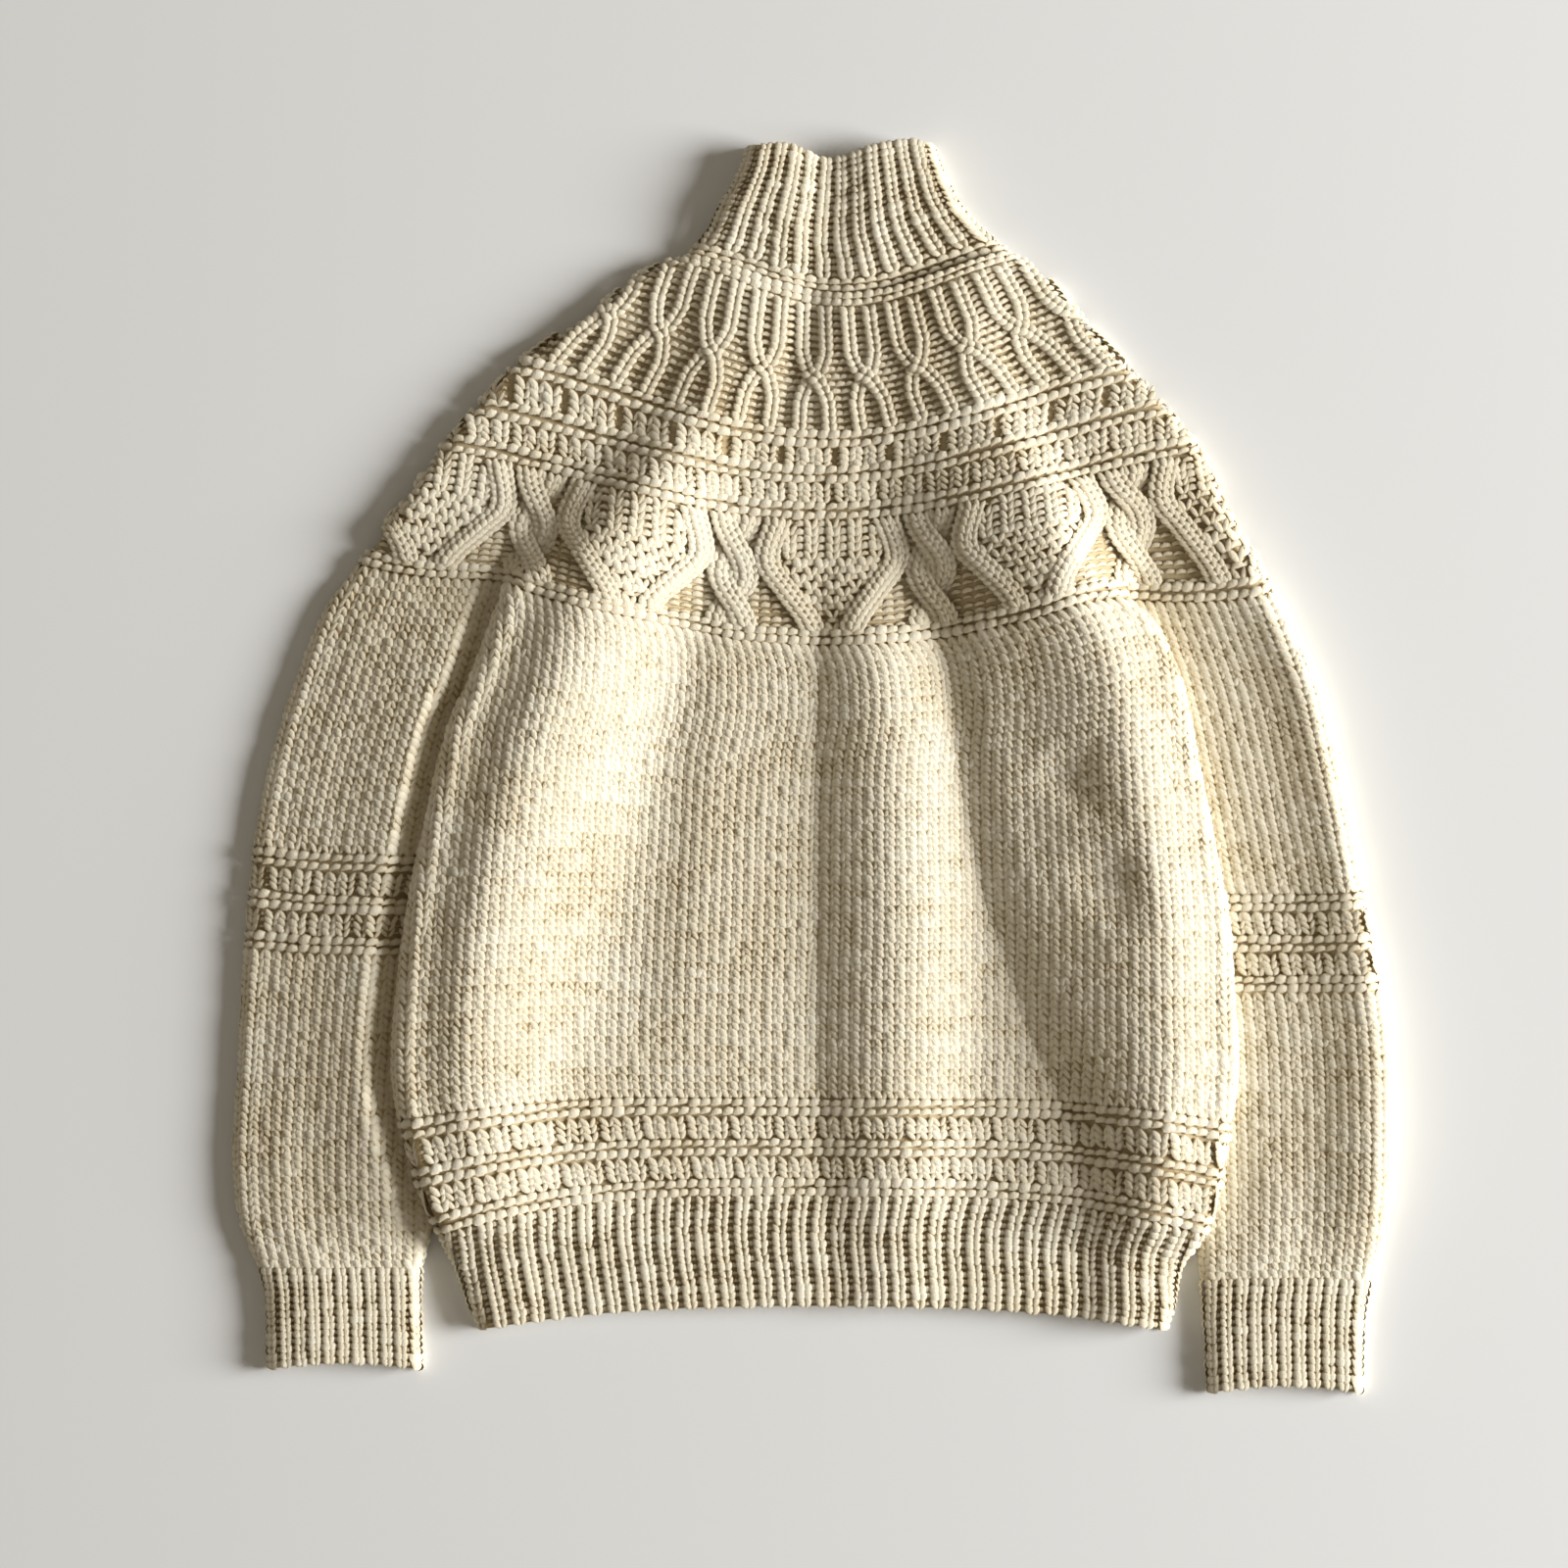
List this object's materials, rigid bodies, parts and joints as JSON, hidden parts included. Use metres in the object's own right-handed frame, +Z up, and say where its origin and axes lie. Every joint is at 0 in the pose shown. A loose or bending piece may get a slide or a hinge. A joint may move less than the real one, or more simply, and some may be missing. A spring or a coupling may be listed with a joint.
{
  "type": "cable knit sweater laid flat",
  "caption": "Hand-knitted pullover with a ribbed high collar, a round yoke of smocking and cables, full sleeves and a ribbed hem, laid flat on its back.",
  "frame": {"origin": "on the surface that the sweater lies on, below the middle of its whole outline", "axes": "+X across the chest to the right as seen from above, +Y from the hem to the collar, +Z up from the surface"},
  "size_m": [0.7033, 0.7646, 0.0441],
  "materials": {
    "wool": "matte cream wool, slightly thick and thin yarn with a soft halo"
  },
  "bodies": {
    "root": {"yoke": "wool", "body": "wool", "hem_ribbing": "wool", "collar": "wool", "sleeve_left": "wool", "sleeve_right": "wool", "cuff_left": "wool", "cuff_right": "wool"}
  },
  "joints": []
}
